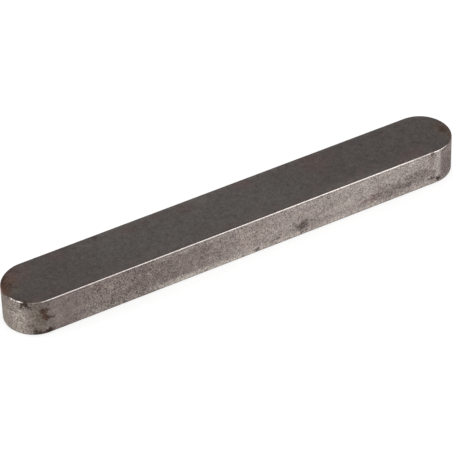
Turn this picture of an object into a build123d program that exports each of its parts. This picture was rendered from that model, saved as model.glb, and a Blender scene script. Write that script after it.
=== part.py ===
from build123d import *
import os

# A parallel key with two round ends (the form A of DIN 6885-1 and ISO 773), one piece of drawn steel.
# It lies flat, as it lies in a shaft's keyway: +X runs along it, +Y across it and +Z up.
# The origin is the centre of the bottom face. Sizes are in millimetres.

key_length = 110.0  # over both round ends
key_width = 14.0  # across the flanks, which carry the load from shaft to hub
key_height = 9.0  # from the bottom face, in the shaft, to the top face, in the hub
edge_break = 0.3  # leg of the chamfer that breaks each rim


def bar():
    """The key before its rims are broken: flat flanks that run into half-round ends, as on the real key.

    Each end's radius is half the width, so that it beds in the round end of a milled keyway.
    """
    plan = SlotOverall(key_length, key_width)
    return extrude(plan, key_height)


def break_rims(body):
    """One chamfer all round the top rim, and one all round the bottom rim."""
    faces_upward = body.faces().sort_by(Axis.Z)
    rims = faces_upward[0].edges() + faces_upward[-1].edges()
    return chamfer(rims, edge_break)


parallel_key = break_rims(bar())

os.makedirs("parts", exist_ok=True)
export_step(parallel_key, "parts/parallel_key.step")
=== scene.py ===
import math
from typing import NamedTuple

import bmesh
import bpy
from bpy.props import FloatProperty, FloatVectorProperty, PointerProperty
from bpy.types import Operator, Panel, PropertyGroup
from mathutils import Matrix, Vector, noise


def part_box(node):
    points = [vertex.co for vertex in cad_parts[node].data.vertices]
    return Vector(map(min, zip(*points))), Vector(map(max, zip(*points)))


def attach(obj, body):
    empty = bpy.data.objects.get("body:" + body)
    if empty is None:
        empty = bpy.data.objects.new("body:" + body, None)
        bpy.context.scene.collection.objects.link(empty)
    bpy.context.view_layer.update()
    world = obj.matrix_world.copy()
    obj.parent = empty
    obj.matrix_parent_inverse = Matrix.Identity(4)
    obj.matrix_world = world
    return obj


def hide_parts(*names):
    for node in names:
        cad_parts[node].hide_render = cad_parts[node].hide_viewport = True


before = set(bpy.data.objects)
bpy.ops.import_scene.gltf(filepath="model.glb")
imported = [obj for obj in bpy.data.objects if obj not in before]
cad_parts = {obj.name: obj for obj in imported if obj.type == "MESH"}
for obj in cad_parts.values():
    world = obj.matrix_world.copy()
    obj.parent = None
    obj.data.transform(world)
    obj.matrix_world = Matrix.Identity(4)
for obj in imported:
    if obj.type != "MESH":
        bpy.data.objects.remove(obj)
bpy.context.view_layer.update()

bl_info = {
    "name": "Parallel Key",
    "version": (1, 0, 0),
    "blender": (4, 5, 0),
    "location": "View3D > Sidebar > Parallel Key",
    "description": "Builds a round-ended parallel key in aged drawn steel, with its floor and soft lights",
    "category": "Add Mesh",
}

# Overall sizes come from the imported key, in metres. What the steel's patterns read is in millimetres.
NODE = "parallel_key"
MM = 0.001
LOW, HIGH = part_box(NODE)
LENGTH, WIDTH, HEIGHT = HIGH - LOW
MIDDLE = (LOW + HIGH) / 2
ROUND = WIDTH / 2  # radius of both ends
SEAM = LENGTH / 2 - ROUND  # where a flank runs into a round end
TOP_MM = HEIGHT / MM


# Places on the key, in millimetres


def on_face(x, y):
    """A point on the top face."""
    return (x, y, TOP_MM)


def on_flank(x, z):
    """A point on the front flank, the one at -Y."""
    return (x, LOW.y / MM, z)


def on_round(end, degrees, z):
    """A point on the wall of a round end. End is -1 or 1, and the degrees start at the front seam."""
    turn = math.radians(degrees)
    reach = SEAM + ROUND * math.sin(turn)
    return (end * reach / MM, -ROUND * math.cos(turn) / MM, z)


# Sizes and colours


class KeySizes(PropertyGroup):
    edge_break: FloatProperty(
        name="Edge break",
        description="Leg of the chamfer round both rims",
        default=0.3 * MM,
        min=0.1 * MM,
        max=1.0 * MM,
        subtype="DISTANCE",
        unit="LENGTH",
    )
    corner_roll: FloatProperty(
        name="Corner roll",
        description="How far each corner of the chamfer is rolled over by handling",
        default=0.05 * MM,
        min=0.01 * MM,
        max=0.1 * MM,
        subtype="DISTANCE",
        unit="LENGTH",
    )
    waviness: FloatProperty(
        name="Waviness",
        description="How far the drawn surface dips between its high spots",
        default=0.012 * MM,
        min=0.0,
        max=0.05 * MM,
        subtype="DISTANCE",
        unit="LENGTH",
    )
    nick_depth: FloatProperty(
        name="Nick depth",
        description="Depth of the deepest nicks along the rims",
        default=0.03 * MM,
        min=0.0,
        max=0.2 * MM,
        subtype="DISTANCE",
        unit="LENGTH",
    )
    flat_depth: FloatProperty(
        name="Flat depth",
        description="How far the left end's back quarter has been dressed flat",
        default=0.08 * MM,
        min=0.0,
        max=0.2 * MM,
        subtype="DISTANCE",
        unit="LENGTH",
    )
    mesh_step: FloatProperty(
        name="Mesh step",
        description="Spacing of the mesh over the faces",
        default=0.36 * MM,
        min=0.3 * MM,
        max=2.0 * MM,
        subtype="DISTANCE",
        unit="LENGTH",
    )


def colour_property(name, description, default):
    return FloatVectorProperty(
        name=name, description=description, subtype="COLOR", default=default, min=0.0, max=1.0
    )


class SteelColours(PropertyGroup):
    # Face is partly painted shade: the top and bottom are drawn darker than the flanks, as if they took in
    # less light.
    face: colour_property("Face", "Dark drawn skin of the top and bottom", (0.087, 0.076, 0.071))
    face_red: colour_property("Face, red cast", "Faint rusty blush on the faces", (0.106, 0.079, 0.075))
    face_pale: colour_property("Face, pale", "Where handling has cleaned the faces", (0.101, 0.090, 0.083))
    flank: colour_property("Flank", "Greyed steel of the flanks and ends", (0.348, 0.298, 0.278))
    # Flank, dim darkens the flanks towards -X as painted shade; it also tints a few marks and the back edge
    # of the faces.
    flank_dim: colour_property("Flank, dim", "The flanks where they are more oxidised", (0.212, 0.174, 0.162))
    flank_warm: colour_property("Flank, warm", "Beige bloom on the flanks", (0.362, 0.302, 0.262))
    # Flank, violet is a film in streaks, and also the painted shade on the right round end.
    flank_violet_and_shade: colour_property("Flank, violet", "Faint violet film on the flanks", (0.205, 0.160, 0.158))
    # Pale is also the painted highlight along the right seam and in the left end's flecks.
    pale: colour_property("Pale", "Steel rubbed nearly clean", (0.470, 0.425, 0.385))
    # Beige is partly painted highlight on the left round end.
    beige: colour_property("Beige", "Light, dry bloom on the left end", (0.400, 0.350, 0.300))
    # Pit is also the painted shade lines along and under the rims.
    pit: colour_property("Pit", "Dark specks of oxide", (0.070, 0.052, 0.050))
    # Bright edge is partly bare metal and partly painted highlight along the rims.
    bright: colour_property("Bright edge", "Clean metal on the broken edges", (0.640, 0.590, 0.570))
    # Olive is a film beside the rust, and partly painted shade in the tall bands over both round ends.
    olive: colour_property("Olive", "Brownish green film beside the rust", (0.150, 0.128, 0.095))
    smudge: colour_property("Smudge", "Grey handling marks", (0.135, 0.108, 0.100))
    red_rust: colour_property("Red rust", "Fresh rust", (0.150, 0.064, 0.036))
    brown_rust: colour_property("Brown rust", "Old, dark rust", (0.042, 0.024, 0.016))


# Shader maths


class Wire:
    """One output of a node tree. Arithmetic on wires and numbers adds Math nodes."""

    def __init__(self, tree, node, output=0):
        self.tree = tree
        self.node = node
        self.output = output

    @property
    def socket(self):
        return self.node.outputs[self.output]

    def other(self, output):
        """Another output of the same node."""
        return Wire(self.tree, self.node, output)

    def maths(self, operation, *terms):
        return self.tree.add("ShaderNodeMath", {"operation": operation}, dict(enumerate(terms)))

    def at_least(self, term):
        return self.maths("MAXIMUM", self, term)

    def at_most(self, term):
        return self.maths("MINIMUM", self, term)

    def __add__(self, term):
        return self.maths("ADD", self, term)

    def __sub__(self, term):
        return self.maths("SUBTRACT", self, term)

    def __rsub__(self, term):
        return self.maths("SUBTRACT", term, self)

    def __mul__(self, term):
        return self.maths("MULTIPLY", self, term)

    def __pow__(self, power):
        return self.maths("POWER", self, power)

    def __abs__(self):
        return self.maths("ABSOLUTE", self)

    __radd__ = __add__
    __rmul__ = __mul__


class Tree:
    """A node tree that is filled by one method, add, and by the few forms built on it."""

    def __init__(self, node_tree):
        self.nodes = node_tree.nodes
        self.links = node_tree.links
        self.nodes.clear()

    def add(self, kind, settings=None, sockets=None, output=0):
        """A node of a kind, with its settings first and then the values or wires of its sockets."""
        node = self.nodes.new(kind)
        for name, value in (settings or {}).items():
            setattr(node, name, value)
        for name, value in (sockets or {}).items():
            socket = node.inputs[name]
            if isinstance(value, Wire):
                self.links.new(value.socket, socket)
            else:
                socket.default_value = value
        return Wire(self, node, output)

    def rise(self, value, low, high):
        """0 at low, 1 at high and a smooth rise between them; low may be the larger."""
        settings = {"interpolation_type": "SMOOTHSTEP"}
        return self.add("ShaderNodeMapRange", settings, {"Value": value, "From Min": low, "From Max": high})

    def vector(self, operation, first, second):
        return self.add("ShaderNodeVectorMath", {"operation": operation}, {0: first, 1: second})

    def scaled(self, vector, factor):
        return self.add("ShaderNodeVectorMath", {"operation": "SCALE"}, {0: vector, "Scale": factor})

    def span(self, vector):
        """The length of a vector."""
        return self.add("ShaderNodeVectorMath", {"operation": "LENGTH"}, {0: vector}, "Value")

    def cloud(self, place, per_mm, seed, detail=2.0, roughness=0.5):
        """Soft noise about 0.5, with blotches of 1 / per_mm millimetres."""
        sockets = {"Vector": place, "W": seed, "Scale": per_mm, "Detail": detail, "Roughness": roughness}
        return self.add("ShaderNodeTexNoise", {"noise_dimensions": "4D"}, sockets)

    def mix(self, amount, first, second):
        """The first colour, turned into the second by amount. A Mix node's colours are sockets 6 and 7."""
        return self.add("ShaderNodeMix", {"data_type": "RGBA"}, {0: amount, 6: first, 7: second}, 2)


def rgba(colour):
    return (*colour, 1.0)


# Steel


class Surface:
    """What the steel's patterns read: where a point lies on the key, and the grains they all share."""

    def __init__(self, steel, sizes):
        coordinates = steel.add("ShaderNodeTexCoord").other("Object")
        self.place = steel.scaled(coordinates, 1 / MM)
        apart = steel.add("ShaderNodeSeparateXYZ", {}, {0: self.place})
        self.x, self.y, self.z = apart, apart.other(1), apart.other(2)
        beyond = (abs(self.x) - SEAM / MM).at_least(0.0)
        reach = (beyond * beyond + self.y * self.y) ** 0.5
        inset = ROUND / MM - reach
        lift = self.z.at_most(TOP_MM - self.z)
        self.from_rim = inset + lift - sizes.edge_break / MM
        self.over_rim = lift - inset
        self.flank = steel.rise(self.over_rim, 0.02, 0.14)
        self.broad = steel.cloud(self.place, 0.11, 1.0, 1.0)
        self.patch = steel.cloud(self.place, 0.42, 2.0, 2.0)
        self.mottle = steel.cloud(self.place, 1.15, 3.0, 2.0)
        self.grain = steel.cloud(self.place, 2.9, 4.0, 2.0, 0.6)
        self.grit = steel.cloud(self.place, 5.4, 6.0, 1.0)
        drawn = steel.vector("MULTIPLY", self.place, (0.28, 1.0, 1.0))
        self.streak = steel.cloud(drawn, 0.75, 7.0, 2.0)
        self.ragged = (self.mottle - 0.5) * 2.2 + (self.grain - 0.5) * 2.2
        drift = steel.cloud(self.place, 0.9, 5.0).other("Color")
        drift = steel.scaled(steel.vector("SUBTRACT", drift, (0.5, 0.5, 0.5)), 1.6)
        self.drifted = steel.vector("ADD", self.place, drift)


class Stain(NamedTuple):
    """A mark on the steel: its colour's name, strength, place and reach, and how soft its edge is."""

    colour: str
    strength: float
    centre: tuple
    reach: tuple
    softness: float = 0.5


def spot(steel, surface, stain):
    """The stain's strength about its centre and 0 past its reach along X, Y and Z, with a ragged edge."""
    away = steel.vector("DIVIDE", steel.vector("SUBTRACT", surface.drifted, stain.centre), stain.reach)
    distance = steel.span(away) + surface.ragged
    return steel.rise(distance, 1.0 + stain.softness, 1.0 - stain.softness) * stain.strength


class Line(NamedTuple):
    """A straight mark on the steel: its colour's name, its strength, both ends and its half width."""

    colour: str
    strength: float
    start: tuple
    end: tuple
    width: float


def stroke(steel, surface, line):
    """The line's strength along its middle and 0 past its half width, with a slightly ragged edge."""
    run = Vector(line.end) - Vector(line.start)
    from_start = steel.vector("SUBTRACT", surface.place, line.start)
    along = steel.add(
        "ShaderNodeVectorMath",
        {"operation": "DOT_PRODUCT"},
        {0: from_start, 1: run / run.length_squared},
        "Value",
    )
    nearest = steel.scaled(run, along.at_least(0.0).at_most(1.0))
    distance = steel.span(steel.vector("SUBTRACT", from_start, nearest))
    ragged = distance * (1 / line.width) + surface.ragged
    return steel.rise(ragged, 1.5, 0.4) * line.strength


STAINS = (
    # the top face: faint rusty patches, pale scuffs and one small dark mark
    Stain("face_red", 0.9, on_face(23.0, 3.6), (2.6, 3.0, 1.0), 0.8),
    Stain("face_red", 0.7, on_face(-9.6, 4.6), (2.2, 1.3, 1.0), 0.8),
    Stain("face_red", 0.7, on_face(6.6, 5.0), (1.5, 1.5, 1.0), 0.8),
    Stain("face_red", 0.6, on_face(-23.0, 4.6), (2.2, 1.2, 1.0), 0.8),
    Stain("face_red", 0.6, on_face(-39.5, 4.8), (1.4, 1.2, 1.0), 0.8),
    Stain("face_red", 0.8, on_face(43.6, -4.8), (2.6, 1.7, 1.0), 0.8),
    Stain("face_pale", 1.0, on_face(-5.0, 5.2), (2.0, 1.2, 1.0), 0.8),
    Stain("flank_dim", 0.20, on_face(-5.2, 5.2), (1.8, 1.2, 1.0), 0.8),
    Stain("pit", 0.5, on_face(-30.6, 6.0), (0.9, 0.4, 0.5), 0.7),
    Stain("flank_dim", 0.25, on_face(-35.3, 1.6), (0.5, 0.4, 0.5), 0.7),
    Stain("flank_dim", 0.20, on_face(-37.2, 2.2), (0.4, 0.6, 0.5), 0.7),
    # the left end: rust on the face's tip, on the rim, at the front seam and along the bottom
    Stain("face_red", 0.9, on_face(-49.0, 4.0), (2.4, 2.4, 1.0), 0.8),
    Stain("olive", 0.30, on_face(-52.4, -0.6), (1.3, 1.1, 1.0), 0.8),
    Stain("red_rust", 0.40, on_face(-52.4, 2.9), (1.8, 1.9, 1.0), 0.8),
    Stain("red_rust", 0.46, on_face(-54.2, 0.9), (1.2, 2.4, 1.0), 0.7),
    Stain("brown_rust", 0.35, on_face(-54.5, -1.0), (0.9, 1.3, 0.8), 0.7),
    Stain("brown_rust", 0.40, on_face(-49.9, 5.4), (0.7, 0.6, 0.8), 0.7),
    Stain("pit", 0.28, on_face(-48.8, -5.2), (2.2, 1.0, 1.0), 0.8),
    Stain("brown_rust", 0.30, on_face(-51.9, -4.9), (0.9, 1.1, 0.5), 0.8),
    Stain("brown_rust", 0.75, on_round(-1, 118, 8.9), (1.8, 4.5, 0.40)),
    Stain("red_rust", 0.45, on_round(-1, 98, 8.9), (0.8, 2.2, 0.45)),
    Stain("brown_rust", 0.90, on_round(-1, 41, 8.7), (0.55, 0.55, 0.7), 0.6),
    Stain("brown_rust", 0.35, on_round(-1, 45, 8.2), (1.2, 1.2, 1.0), 0.8),
    Stain("brown_rust", 0.45, on_round(-1, 58, 7.4), (0.3, 0.3, 0.3), 0.8),
    Stain("smudge", 0.40, on_round(-1, 80, 7.4), (1.6, 1.8, 1.6), 0.8),
    # partly painted shade: a tall olive band darkens the left round end near its front seam
    Stain("olive", 0.60, on_round(-1, 20, 4.8), (2.0, 1.7, 4.0), 0.7),
    Stain("brown_rust", 0.35, on_round(-1, 10, 5.8), (1.3, 1.0, 2.2), 0.8),
    Stain("brown_rust", 0.80, on_round(-1, 16, 0.8), (1.8, 1.6, 0.8)),
    Stain("brown_rust", 0.80, on_flank(-48.4, 0.9), (1.1, 1.2, 0.8)),
    # the front flank: pale patches, smudges and small dark marks
    Stain("pit", 0.50, on_flank(-43.2, 7.2), (0.25, 0.6, 0.7), 0.7),
    Stain("red_rust", 0.14, on_flank(-36.5, 7.2), (2.2, 1.0, 0.8), 0.9),
    Stain("flank_warm", 0.40, on_flank(-33.0, 5.6), (4.0, 2.0, 2.2), 0.9),
    Stain("flank_warm", 0.50, on_flank(2.0, 5.2), (3.6, 2.0, 2.4), 0.9),
    Stain("pale", 0.22, on_flank(-37.6, 2.2), (1.8, 2.0, 1.2), 0.9),
    Stain("pale", 0.22, on_flank(-24.4, 1.8), (1.8, 2.0, 1.0), 0.9),
    Stain("pale", 0.32, on_flank(4.2, 2.8), (1.9, 2.0, 1.3), 0.9),
    Stain("pale", 0.28, on_flank(10.4, 3.6), (1.5, 2.0, 1.6), 0.9),
    Stain("smudge", 0.90, on_flank(13.6, 2.8), (1.7, 2.0, 1.6), 0.6),
    Stain("pit", 0.80, on_flank(2.0, 0.9), (0.8, 0.8, 0.35)),
    Stain("pit", 0.45, on_flank(6.8, 1.6), (1.4, 1.0, 0.3)),
    Stain("pale", 0.30, on_flank(27.0, 6.2), (10.0, 2.0, 2.2), 0.9),
    Stain("pale", 0.60, on_flank(24.0, 3.8), (2.0, 1.5, 1.7), 0.9),
    Stain("pale", 0.35, on_flank(37.8, 5.0), (1.6, 1.2, 1.0), 0.9),
    Stain("pale", 0.30, on_flank(41.5, 7.2), (5.5, 2.0, 1.1), 0.9),
    Stain("flank_warm", 0.50, on_flank(33.0, 4.7), (1.8, 1.2, 0.7), 0.8),
    Stain("smudge", 0.50, on_flank(36.2, 2.6), (3.8, 2.0, 1.5), 0.8),
    Stain("red_rust", 0.30, on_flank(31.0, 2.7), (1.6, 1.2, 0.7), 0.8),
    Stain("smudge", 0.38, on_flank(43.0, 3.7), (3.8, 2.0, 1.4), 0.8),
    Stain("pit", 0.60, on_flank(40.6, 4.5), (0.9, 0.8, 0.25), 0.6),
    # the right end: a spot under the rim, a dark one under the seam, a round darkened by tarnish and partly
    # by painted shade, and a rusty tip
    Stain("flank_warm", 0.60, on_flank(46.9, 7.4), (0.8, 0.9, 1.3), 0.7),
    Stain("brown_rust", 0.65, on_flank(47.2, 8.3), (0.40, 0.6, 0.6), 0.7),
    Stain("brown_rust", 0.25, on_flank(46.7, 6.8), (0.50, 0.6, 1.1), 0.8),
    Stain("smudge", 0.30, on_flank(47.3, 1.6), (1.1, 0.8, 2.0), 0.8),
    Stain("brown_rust", 1.00, on_flank(48.2, 1.1), (0.8, 0.8, 0.75)),
    Stain("pale", 0.34, on_round(1, 26, 0.5), (2.8, 3.0, 0.6), 0.8),
    Stain("smudge", 0.40, on_round(1, 45, 3.0), (3.1, 3.4, 3.6), 0.8),
    # partly painted shade: a tall olive band darkens the right round end
    Stain("olive", 0.40, on_round(1, 48, 5.0), (1.2, 1.6, 5.5), 0.7),
    Stain("red_rust", 0.35, on_face(53.2, -1.0), (1.1, 2.4, 1.0), 0.8),
    Stain("brown_rust", 0.80, on_face(53.2, -1.2), (0.75, 1.6, 1.0), 0.7),
    Stain("brown_rust", 0.30, on_face(53.2, 0.6), (0.7, 0.7, 1.0), 0.8),
)

LINES = (
    Line("flank_dim", 0.20, on_face(-34.8, 5.5), on_face(-31.8, 3.8), 0.30),
    # the rust at the left end: three legs below the rim, and the crescent at the seam with its arm
    Line("brown_rust", 0.60, on_round(-1, 48, 8.3), on_round(-1, 50, 7.2), 0.30),
    Line("brown_rust", 0.55, on_round(-1, 40, 8.5), on_round(-1, 35, 7.8), 0.32),
    Line("brown_rust", 0.60, on_round(-1, 15, 6.2), on_round(-1, 12, 6.9), 0.32),
    Line("brown_rust", 0.50, on_round(-1, 12, 6.9), on_flank(-48.3, 6.5), 0.26),
    Line("brown_rust", 0.75, on_round(-1, 10, 6.3), on_round(-1, 6, 4.3), 0.42),
    Line("red_rust", 0.30, on_round(-1, 10, 6.2), on_round(-1, 6, 4.4), 0.55),
    Line("brown_rust", 0.55, on_flank(-48.0, 4.5), on_flank(-47.0, 4.2), 0.38),
    # the right end: a streak beside the dark spot, and a band of dirt above the smudges
    Line("brown_rust", 0.65, on_flank(46.1, 1.9), on_flank(47.3, 1.7), 0.26),
    Line("smudge", 0.30, on_flank(41.6, 4.8), on_flank(45.3, 5.1), 0.55),
)


def face_colour_and_shade(steel, surface, colours):
    """The dark faces, partly painted shade: paler along the middle, redder near the edges and with a painted
    shade line at the front rim.

    The back edge is a little paler, and brown with rust round the back of the left end.
    """
    middle = steel.rise(surface.x, -42.0, -26.0) * steel.rise(surface.x, 28.0, 8.0)
    paler = (middle + (surface.broad - 0.5) * 1.5).at_least(0.0)
    colour = steel.mix(paler, rgba(colours.face), rgba(colours.face_pale))
    near_edge = steel.rise(abs(surface.y), 1.0, 6.0)
    reddened = steel.rise(surface.patch, 0.50, 0.68) * near_edge
    colour = steel.mix(reddened * 0.6, colour, rgba(colours.face_red))
    # painted shade: a dark line along the faces' front rim, beside the bright edge
    front_rim_shade = steel.rise(surface.from_rim, 0.55, 0.1) * steel.rise(surface.y, 3.0, -3.0)
    colour = steel.mix(front_rim_shade * 0.5, colour, rgba(colours.pit))
    back_edge = steel.rise(surface.from_rim, 1.2, 0.3) * steel.rise(surface.y, 3.0, 6.0)
    back_edge = back_edge * steel.rise(surface.x, -38.0, -26.0)
    colour = steel.mix(back_edge * 0.12, colour, rgba(colours.flank_dim))
    back_rim = steel.rise(surface.from_rim + (surface.mottle - 0.5) * 1.5, 0.9, 0.2)
    back_rim = back_rim * steel.rise(surface.x, -47.5, -50.0) * steel.rise(surface.y, 1.5, 3.5)
    return steel.mix(back_rim * 0.6, colour, rgba(colours.brown_rust))


def flank_colour_and_shade(steel, surface, colours):
    """The greyed walls: dimmer towards -X as painted shade, violet in streaks, beige in patches, pale along
    both edges.

    The left round end is beige with a band of pale flecks, partly a painted highlight; the right one is
    violet as painted shade, with a painted highlight along its seam; and a painted shade line runs under the
    rims.
    """
    # painted shade: the flanks darken towards -X
    dim = steel.rise(surface.x + (surface.broad - 0.5) * 30.0, 10.0, -26.0)
    colour = steel.mix(dim, rgba(colours.flank), rgba(colours.flank_dim))
    colour = steel.mix(steel.rise(surface.streak, 0.46, 0.68) * 0.5, colour, rgba(colours.flank_violet_and_shade))
    colour = steel.mix(steel.rise(surface.patch, 0.5, 0.75) * 0.4, colour, rgba(colours.flank_warm))
    height = surface.z + (surface.mottle - 0.5) * 2.5
    top_edge = steel.rise(height, 7.6, 8.2) * (0.25 + steel.rise(surface.x, 18.0, 34.0) * 0.45)
    edges = steel.rise(height, 2.0, 1.0).at_least(top_edge)
    band = steel.rise(surface.x, -25.0, -20.0) * (0.60 + steel.rise(surface.x, 6.0, 0.0) * 0.35)
    band = band.at_least(steel.rise(surface.x, -44.0, -37.0) * 0.28)
    colour = steel.mix(edges * band, colour, rgba(colours.pale))
    # partly painted highlight: the left round end is drawn lighter, in beige
    left_round_highlight = steel.rise(surface.x + (surface.patch - 0.5) * 1.5, -51.6, -53.2)
    colour = steel.mix(left_round_highlight * 0.55, colour, rgba(colours.beige))
    # partly painted highlight: a band of pale flecks across the left round end
    fleck_highlight_band = spot(steel, surface, Stain("pale", 1.0, on_round(-1, 56, 4.4), (1.5, 1.8, 4.6), 0.7))
    flecked = fleck_highlight_band * steel.rise(surface.grain + (surface.grit - 0.5) * 0.7, 0.42, 0.66)
    colour = steel.mix(flecked * 0.8, colour, rgba(colours.pale))
    # painted shade: the right round end is drawn darker, in violet
    right_round_shade = steel.rise(surface.x + (surface.mottle - 0.5) * 0.8, 48.7, 49.3)
    right_round_shade = right_round_shade * (0.75 - steel.rise(surface.x, 51.2, 52.4) * 0.4)
    colour = steel.mix(right_round_shade, colour, rgba(colours.flank_violet_and_shade))
    # painted highlight: a pale line along the right seam
    right_seam_highlight = stroke(steel, surface, Line("pale", 0.75, on_flank(48.3, 2.0), on_flank(48.3, 8.3), 0.55))
    colour = steel.mix(right_seam_highlight, colour, rgba(colours.pale))
    # painted shade: a dark line under the rims
    shade_under_rim = steel.rise(abs(surface.over_rim - 0.34), 0.26, 0.06)
    shade_under_rim = shade_under_rim * steel.rise(surface.from_rim, 0.4, 0.1)
    return steel.mix(shade_under_rim * 0.35, colour, rgba(colours.pit))


def key_steel(colours, sizes):
    """Drawn steel that has greyed and speckled with age, with bright rims that are partly painted highlight,
    painted shade on its faces and round ends, and a few rust spots.
    """
    material = bpy.data.materials.new("aged_drawn_steel")
    material.use_nodes = True
    steel = Tree(material.node_tree)
    surface = Surface(steel, sizes)
    colour = steel.mix(surface.flank, face_colour_and_shade(steel, surface, colours), flank_colour_and_shade(steel, surface, colours))
    # the bright line along the rims, partly bare metal and partly a painted highlight: widest on the front of
    # the left tip, tarnished beside it, and faded out on the back of that tip and on the right tip
    left_tip = steel.rise(surface.x, -52.0, -53.0)
    crest = abs(surface.over_rim + 0.07) + (surface.mottle - 0.5) * (0.10 - left_tip * 0.07) - left_tip * 0.05
    bare_and_highlight = steel.rise(crest, 0.17, 0.07) * steel.rise(surface.from_rim, 0.25, 0.12)
    bare_and_highlight = bare_and_highlight * (0.80 + (left_tip * 0.45).at_least(steel.rise(surface.x, -40.0, 45.0) * 0.25))
    tarnish = steel.rise(surface.x, -53.2, -52.6) * steel.rise(surface.x, -48.9, -50.2)
    bare_and_highlight = bare_and_highlight * (1.0 - tarnish * 0.60) * steel.rise(surface.x, 51.6, 50.2)
    bare_and_highlight = bare_and_highlight * (1.0 - left_tip * steel.rise(surface.y, -2.3, -1.5))
    colour = steel.mix(bare_and_highlight, colour, rgba(colours.bright))
    # the marks, and how much of the surface is rust
    rusty = 0.0
    for mark in STAINS + LINES:
        mask = spot(steel, surface, mark) if isinstance(mark, Stain) else stroke(steel, surface, mark)
        colour = steel.mix(mask, colour, rgba(getattr(colours, mark.colour)))
        if "rust" in mark.colour:
            rusty = mask.at_least(rusty)
    # the speckle and the pits: strongest in the flanks' left part and weakest beside the left seam
    speckled = steel.rise(surface.x, -44.0, -37.0) * steel.rise(surface.x, -14.0, -24.0)
    smooth = steel.rise(surface.x, -52.0, -49.0) * steel.rise(surface.x, -37.0, -44.0)
    fine = (surface.grain - 0.5) * 1.4 + (surface.grit - 0.5) * 2.4
    contrast = 0.50 + surface.flank * (0.55 + speckled * 0.25 - smooth * 0.25)
    colour = steel.scaled(colour, 1.0 + fine * contrast + (surface.mottle - 0.5) * 0.7)
    pitting = surface.grain + (surface.patch - 0.5) * 0.5 - speckled * 0.06 + smooth * 0.06
    pitted = steel.rise(pitting, 0.42, 0.28)
    colour = steel.mix(pitted * surface.flank * 0.5, colour, rgba(colours.pit))
    roughness = 0.52 - bare_and_highlight * 0.17 + (surface.grain - 0.5) * 0.25 + rusty * 0.25
    height = (surface.grain - 0.5) * 0.02 + (surface.mottle - 0.5) * 0.02
    bump = steel.add("ShaderNodeBump", {}, {"Height": height, "Distance": MM, "Strength": 1.0})
    shader = steel.add(
        "ShaderNodeBsdfPrincipled",
        {},
        {
            "Base Color": colour,
            "Metallic": 0.9 - rusty * 0.6,
            "Roughness": roughness,
            "Specular Tint": (0.5, 0.5, 0.5, 1.0),
            "Normal": bump,
        },
    )
    steel.add("ShaderNodeOutputMaterial", {}, {"Surface": shader})
    return material


# Key


def key_section(shape, sizes):
    """Half of the key's cross-section, an open wire from the bottom's middle line to the top's."""
    inner = ROUND - sizes.edge_break
    corners = [
        (0.0, LOW.z),
        (-inner, LOW.z),
        (-ROUND, LOW.z + sizes.edge_break),
        (-ROUND, HIGH.z - sizes.edge_break),
        (-inner, HIGH.z),
        (0.0, HIGH.z),
    ]
    points = [shape.verts.new((SEAM, y, z)) for y, z in corners]
    for pair in zip(points, points[1:]):
        shape.edges.new(pair)
    bmesh.ops.bevel(
        shape,
        geom=points[1:-1],
        offset=sizes.corner_roll,
        offset_type="OFFSET",
        segments=2,
        profile=0.5,
        affect="VERTICES",
        material=-1,
    )
    for run in list(shape.edges):
        cuts = round(run.calc_length() / sizes.mesh_step) - 1
        if cuts > 0:
            bmesh.ops.subdivide_edges(shape, edges=[run], cuts=cuts)
    return list(shape.verts) + list(shape.edges)


def swept(shape, section, centre, angle, run, steps):
    """Carries the section on, by an angle about an upright line or by a straight run. Returns its end."""
    spun = bmesh.ops.spin(
        shape, geom=section, cent=centre, axis=(0.0, 0.0, 1.0), dvec=run, angle=angle, steps=steps
    )
    return spun["geom_last"]


def key_shape(sizes):
    """The section swept round the key's plan: a half turn, a flank, a half turn and the front flank."""
    shape = bmesh.new()
    turns = round(math.pi * ROUND / sizes.mesh_step)
    still = (0.0, 0.0, 0.0)
    section = key_section(shape, sizes)
    section = swept(shape, section, (SEAM, 0.0, 0.0), math.pi, still, turns)
    section = swept(shape, section, still, 0.0, (-2 * SEAM, 0.0, 0.0), 1)
    section = swept(shape, section, (-SEAM, 0.0, 0.0), math.pi, still, turns)
    swept(shape, section, still, 0.0, (2 * SEAM, 0.0, 0.0), 1)
    bmesh.ops.remove_doubles(shape, verts=shape.verts, dist=0.01 * MM)
    along = [edge for edge in shape.edges if edge.calc_length() > SEAM]
    bmesh.ops.subdivide_edges(shape, edges=along, cuts=round(2 * SEAM / sizes.mesh_step) - 1)
    bmesh.ops.recalc_face_normals(shape, faces=shape.faces)
    return shape


# How far a corner's normal leans upright on the chamfers, and where the left end's flat lies: its middle
# and half its spread, in degrees from the front seam.
CHAMFER_LEAN = (0.3, 0.95)
FLAT_MIDDLE = 142.0
FLAT_HALF = 30.0


def wear(shape, sizes):
    """Presses the surface in: slow waves all over, nicks along the rims and a faint flat on the left end."""
    shape.normal_update()
    for corner in shape.verts:
        place = corner.co / MM
        depth = sizes.waviness * (0.5 + 0.5 * noise.noise(place * 0.15))
        lean = abs(corner.normal.z)
        if CHAMFER_LEAN[0] < lean < CHAMFER_LEAN[1]:
            depth += sizes.nick_depth * max(0.0, noise.noise(place * 0.9) - 0.2)
        if corner.co.x < -SEAM:
            turn = math.degrees(math.atan2(-SEAM - corner.co.x, -corner.co.y)) - FLAT_MIDDLE
            if abs(turn) < FLAT_HALF and lean < CHAMFER_LEAN[1]:
                depth += sizes.flat_depth * math.cos(math.radians(90.0 / FLAT_HALF * turn))
        corner.co -= corner.normal * depth


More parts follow.
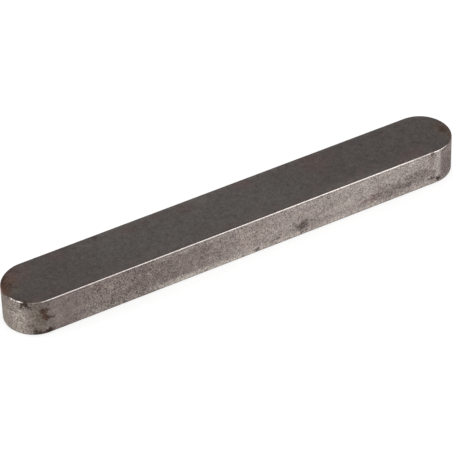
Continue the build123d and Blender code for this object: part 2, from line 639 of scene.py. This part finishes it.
class KEY_OT_make_key(Operator):
    """Build the key and give it its steel"""

    bl_idname = "parallel_key.make_key"
    bl_label = "Make key"

    def execute(self, context):
        sizes = context.scene.key_sizes
        shape = key_shape(sizes)
        open_edges = [edge for edge in shape.edges if not edge.is_manifold]
        if open_edges:
            raise RuntimeError(f"the key isn't closed: {len(open_edges)} open edges")
        wear(shape, sizes)
        for face in shape.faces:
            face.smooth = True
        mesh = bpy.data.meshes.new("key")
        shape.to_mesh(mesh)
        shape.free()
        key = bpy.data.objects.new("key", mesh)
        context.scene.collection.objects.link(key)
        mesh.materials.append(key_steel(context.scene.steel_colours, sizes))
        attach(key, "root")
        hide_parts(NODE)
        return {"FINISHED"}


# Stage


class StageSettings(PropertyGroup):
    floor_width: FloatProperty(
        name="Floor width",
        description="Side of the square floor",
        default=6.0,
        min=1.0,
        subtype="DISTANCE",
        unit="LENGTH",
    )
    floor_colour: FloatVectorProperty(
        name="Floor",
        description="Colour of the floor",
        subtype="COLOR",
        default=(0.45, 0.45, 0.45),
        min=0.0,
        max=1.0,
    )


def seen_rays(tree):
    """1 for rays from the camera and for those that metal or glass sends on, otherwise 0."""
    path = tree.add("ShaderNodeLightPath")
    mirrored = path.other("Is Glossy Ray")
    through = path.other("Is Transmission Ray")
    return path.other("Is Camera Ray").at_least(mirrored).at_least(through)


def soft_world():
    world = bpy.data.worlds.new("soft_studio")
    world.use_nodes = True
    sky = Tree(world.node_tree)
    shown = seen_rays(sky)
    soft = sky.add("ShaderNodeBackground", {}, {"Color": (0.80, 0.80, 0.80, 1.0), "Strength": 1.0})
    white = sky.add("ShaderNodeBackground", {}, {"Color": (1.0, 1.0, 1.0, 1.0), "Strength": 1.0})
    both = sky.add("ShaderNodeMixShader", {}, {0: shown, 1: soft, 2: white})
    sky.add("ShaderNodeOutputWorld", {}, {"Surface": both})
    return world


def floor_material(settings):
    material = bpy.data.materials.new("pale_floor")
    material.use_nodes = True
    tree = Tree(material.node_tree)
    shown = seen_rays(tree)
    paper = tree.add("ShaderNodeBsdfDiffuse", {}, {"Color": rgba(settings.floor_colour)})
    glow = tree.add("ShaderNodeEmission", {}, {"Color": (1.0, 1.0, 1.0, 1.0), "Strength": 0.65})
    lit = tree.add("ShaderNodeAddShader", {}, {0: paper, 1: glow})
    both = tree.add("ShaderNodeMixShader", {}, {0: shown, 1: paper, 2: lit})
    tree.add("ShaderNodeOutputMaterial", {}, {"Surface": both})
    return material


def towards(azimuth, elevation):
    """A direction from the key, in degrees. Azimuth 0 is in front, towards -Y, and 90 is at +X."""
    a, e = math.radians(azimuth), math.radians(elevation)
    return Vector((math.sin(a) * math.cos(e), -math.cos(a) * math.cos(e), math.sin(e)))


def place_facing(thing, position, target, roll=0.0):
    """Puts a lamp or camera at a position, looking at a target, turned by roll about its line of sight."""
    sight = (target - position).normalized()
    turn = sight.to_track_quat("-Z", "Y").to_matrix().to_4x4() @ Matrix.Rotation(roll, 4, "Z")
    thing.matrix_world = Matrix.Translation(position) @ turn


def soft_box(context, name, azimuth, elevation, distance, side, power):
    """A square area lamp that faces the key: its direction, distance and side, and its power in watts."""
    lamp = bpy.data.lights.new(name, "AREA")
    lamp.shape = "SQUARE"
    lamp.size = side
    lamp.energy = power
    thing = bpy.data.objects.new(name, lamp)
    context.scene.collection.objects.link(thing)
    place_facing(thing, MIDDLE + towards(azimuth, elevation) * distance, MIDDLE)


# The camera: angles in degrees, its distance in metres, and its focal length and sensor in millimetres.
CAMERA_AZIMUTH = -28.45
CAMERA_ELEVATION = 39.77
CAMERA_ROLL = -1.813
CAMERA_DISTANCE = 0.643
CAMERA_LENS = 236.5
CAMERA_SENSOR = 36.0
CAMERA_CLIP = 0.01
CAMERA_AIM = Vector((-1.50 * MM, 0.22 * MM, 3.88 * MM))


class KEY_OT_make_stage(Operator):
    """Lay the floor, hang the soft lights and set up the camera"""

    bl_idname = "parallel_key.make_stage"
    bl_label = "Make stage"

    def execute(self, context):
        scene = context.scene
        settings = scene.key_stage
        shape = bmesh.new()
        bmesh.ops.create_grid(shape, x_segments=1, y_segments=1, size=settings.floor_width / 2)
        mesh = bpy.data.meshes.new("floor")
        shape.to_mesh(mesh)
        shape.free()
        mesh.materials.append(floor_material(settings))
        floor = bpy.data.objects.new("floor", mesh)
        scene.collection.objects.link(floor)
        scene.world = soft_world()
        soft_box(context, "front_right", azimuth=30.0, elevation=42.5, distance=0.8, side=0.5, power=1.2)
        soft_box(context, "left", azimuth=-92.0, elevation=41.0, distance=0.8, side=0.4, power=0.8)
        lens = bpy.data.cameras.new("camera")
        lens.lens = CAMERA_LENS
        lens.sensor_width = CAMERA_SENSOR
        lens.clip_start = CAMERA_CLIP
        camera = bpy.data.objects.new("camera", lens)
        scene.collection.objects.link(camera)
        position = CAMERA_AIM + towards(CAMERA_AZIMUTH, CAMERA_ELEVATION) * CAMERA_DISTANCE
        place_facing(camera, position, CAMERA_AIM, math.radians(CAMERA_ROLL))
        scene.camera = camera
        scene.view_settings.view_transform = "Standard"
        return {"FINISHED"}


# Panel and registration


class KEY_PT_panel(Panel):
    """Sizes, colours and steps of the key"""

    bl_label = "Parallel Key"
    bl_space_type = "VIEW_3D"
    bl_region_type = "UI"
    bl_category = "Parallel Key"

    def draw(self, context):
        scene = context.scene
        for group in (scene.key_sizes, scene.steel_colours, scene.key_stage):
            for name in group.__annotations__:
                self.layout.prop(group, name)
        self.layout.operator("parallel_key.make_key")
        self.layout.operator("parallel_key.make_stage")


CLASSES = (KeySizes, SteelColours, StageSettings, KEY_OT_make_key, KEY_OT_make_stage, KEY_PT_panel)


def register():
    for kind in CLASSES:
        bpy.utils.register_class(kind)
    bpy.types.Scene.key_sizes = PointerProperty(type=KeySizes)
    bpy.types.Scene.steel_colours = PointerProperty(type=SteelColours)
    bpy.types.Scene.key_stage = PointerProperty(type=StageSettings)


def unregister():
    del bpy.types.Scene.key_stage
    del bpy.types.Scene.steel_colours
    del bpy.types.Scene.key_sizes
    for kind in reversed(CLASSES):
        bpy.utils.unregister_class(kind)


def main():
    register()
    bpy.ops.parallel_key.make_key()
    bpy.ops.parallel_key.make_stage()


if __name__ == "__main__":
    main()
